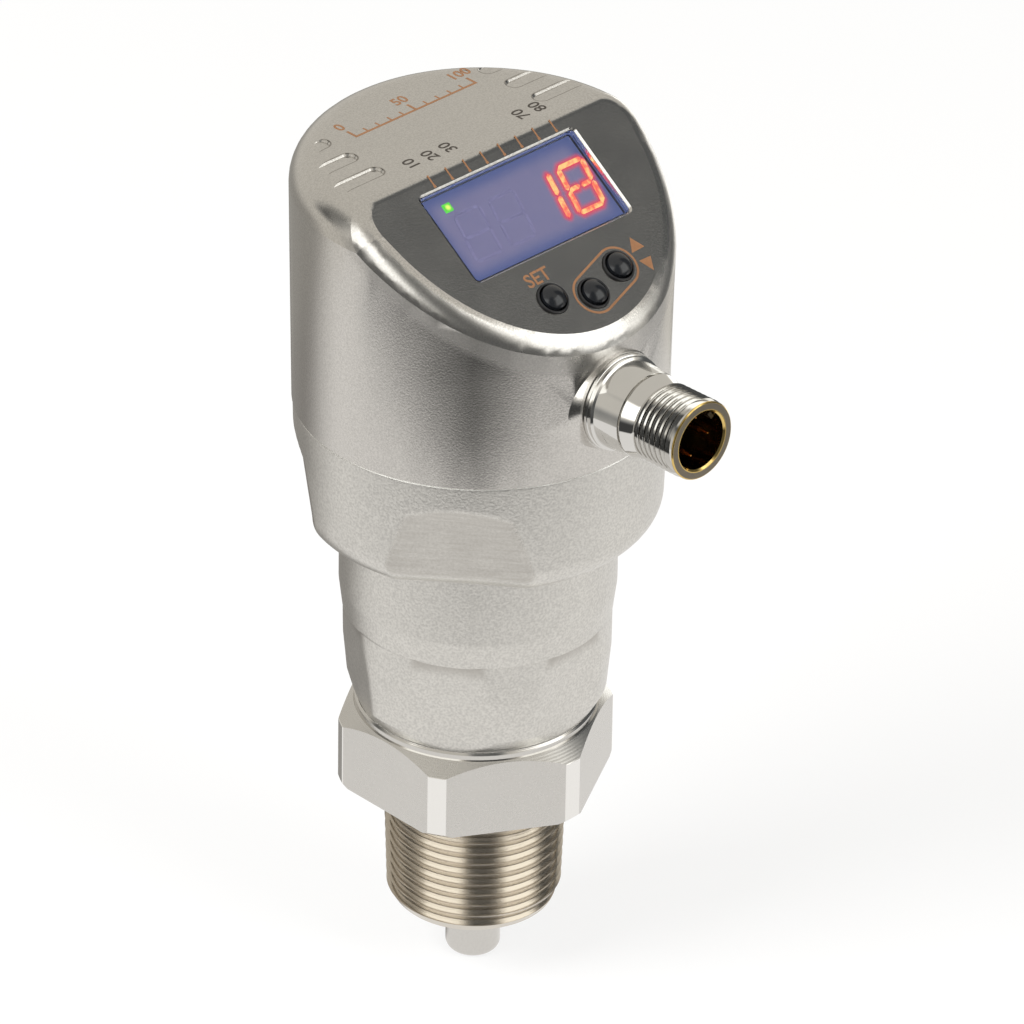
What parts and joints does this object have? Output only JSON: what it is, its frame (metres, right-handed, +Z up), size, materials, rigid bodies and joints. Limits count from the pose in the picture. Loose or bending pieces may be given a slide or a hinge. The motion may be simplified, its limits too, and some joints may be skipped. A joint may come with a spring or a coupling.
{
  "type": "radar level transmitter",
  "caption": "Compact guided-wave radar level transmitter with a swivelling steel display housing, push keys, round plug connector, tapered pipe thread and probe stub.",
  "frame": {"origin": "on the process thread's axis, at the underside of the hexagon", "axes": "+Z up the thread axis towards the display housing's top; -Y is the front, where the slanted display and the connector are; +X is to the right of someone who reads the display"},
  "size_m": [0.0542, 0.071, 0.1332],
  "materials": {
    "turned_steel": "turned and milled stainless steel",
    "blasted_steel": "bead-blasted stainless steel",
    "drawn_steel": "finely brushed drawn stainless steel",
    "spring_steel": "plain spring and screw steel",
    "nickel_plate": "bright nickel plate",
    "gold_plate": "thin gold plate, polished",
    "contact_gold": "gold-plated contact",
    "brass": "turned brass",
    "tin_plate": "tinned sheet",
    "insulator": "natural beige high-temperature plastic",
    "dielectric": "white fluoropolymer",
    "seal_rubber": "black elastomer",
    "key_rubber": "black moulded elastomer",
    "key_plastic": "black satin plastic",
    "black_plastic": "black moulded plastic",
    "dark_insert": "very dark brown plastic",
    "display_filter": "smoky violet-blue filter",
    "lit_red": "lit red display bars",
    "lit_green": "lit green indicator",
    "circuit_board": "green solder mask",
    "ribbon_film": "amber film",
    "window_glass": "clear pane"
  },
  "bodies": {
    "process": {"process_connection": "turned_steel", "probe_stub": "turned_steel", "lower_insulator": "insulator", "upper_insulator": "insulator", "feedthrough_o_rings": "seal_rubber", "feedthrough_nut": "turned_steel", "coax_pin": "contact_gold", "coax_dielectric": "dielectric", "coax_tube": "brass", "slide_washer": "dielectric", "swivel_o_rings": "seal_rubber", "circlip": "spring_steel"},
    "housing": {"lower_housing": "blasted_steel", "housing_o_ring": "seal_rubber", "upper_housing": "drawn_steel", "display_window": "window_glass", "window_gasket": "seal_rubber", "display_frame": "black_plastic", "display_module": "display_filter", "display_digits": "lit_red", "status_led": "lit_green", "display_board": "circuit_board", "board_ribbon": "ribbon_film", "keypad_seal": "key_rubber", "key_switches": "black_plastic", "connector_shell": "nickel_plate", "connector_sleeve": "gold_plate", "connector_insert": "dark_insert", "connector_pins": "contact_gold", "connector_flex": "ribbon_film", "board_carrier": "black_plastic", "main_board": "circuit_board", "board_screws": "spring_steel", "shield_can": "tin_plate", "coax_socket": "brass"},
    "button_enter": {"button_enter": "key_plastic"},
    "button_down": {"button_down": "key_plastic"},
    "button_up": {"button_up": "key_plastic"}
  },
  "joints": [
    {"name": "housing_swivel", "type": "hinge", "parent": "process", "child": "housing", "pos_m": [0, 0, 0.03], "axis": [0, 0, 1], "continuous": true},
    {"name": "button_enter_press", "type": "slide", "parent": "housing", "child": "button_enter", "axis": [0, 0.5693, -0.8221], "range_m": [0, 0.0005], "stiffness_N_per_m": 4000},
    {"name": "button_down_press", "type": "slide", "parent": "housing", "child": "button_down", "axis": [0, 0.5693, -0.8221], "range_m": [0, 0.0005], "stiffness_N_per_m": 4000},
    {"name": "button_up_press", "type": "slide", "parent": "housing", "child": "button_up", "axis": [0, 0.5693, -0.8221], "range_m": [0, 0.0005], "stiffness_N_per_m": 4000}
  ]
}
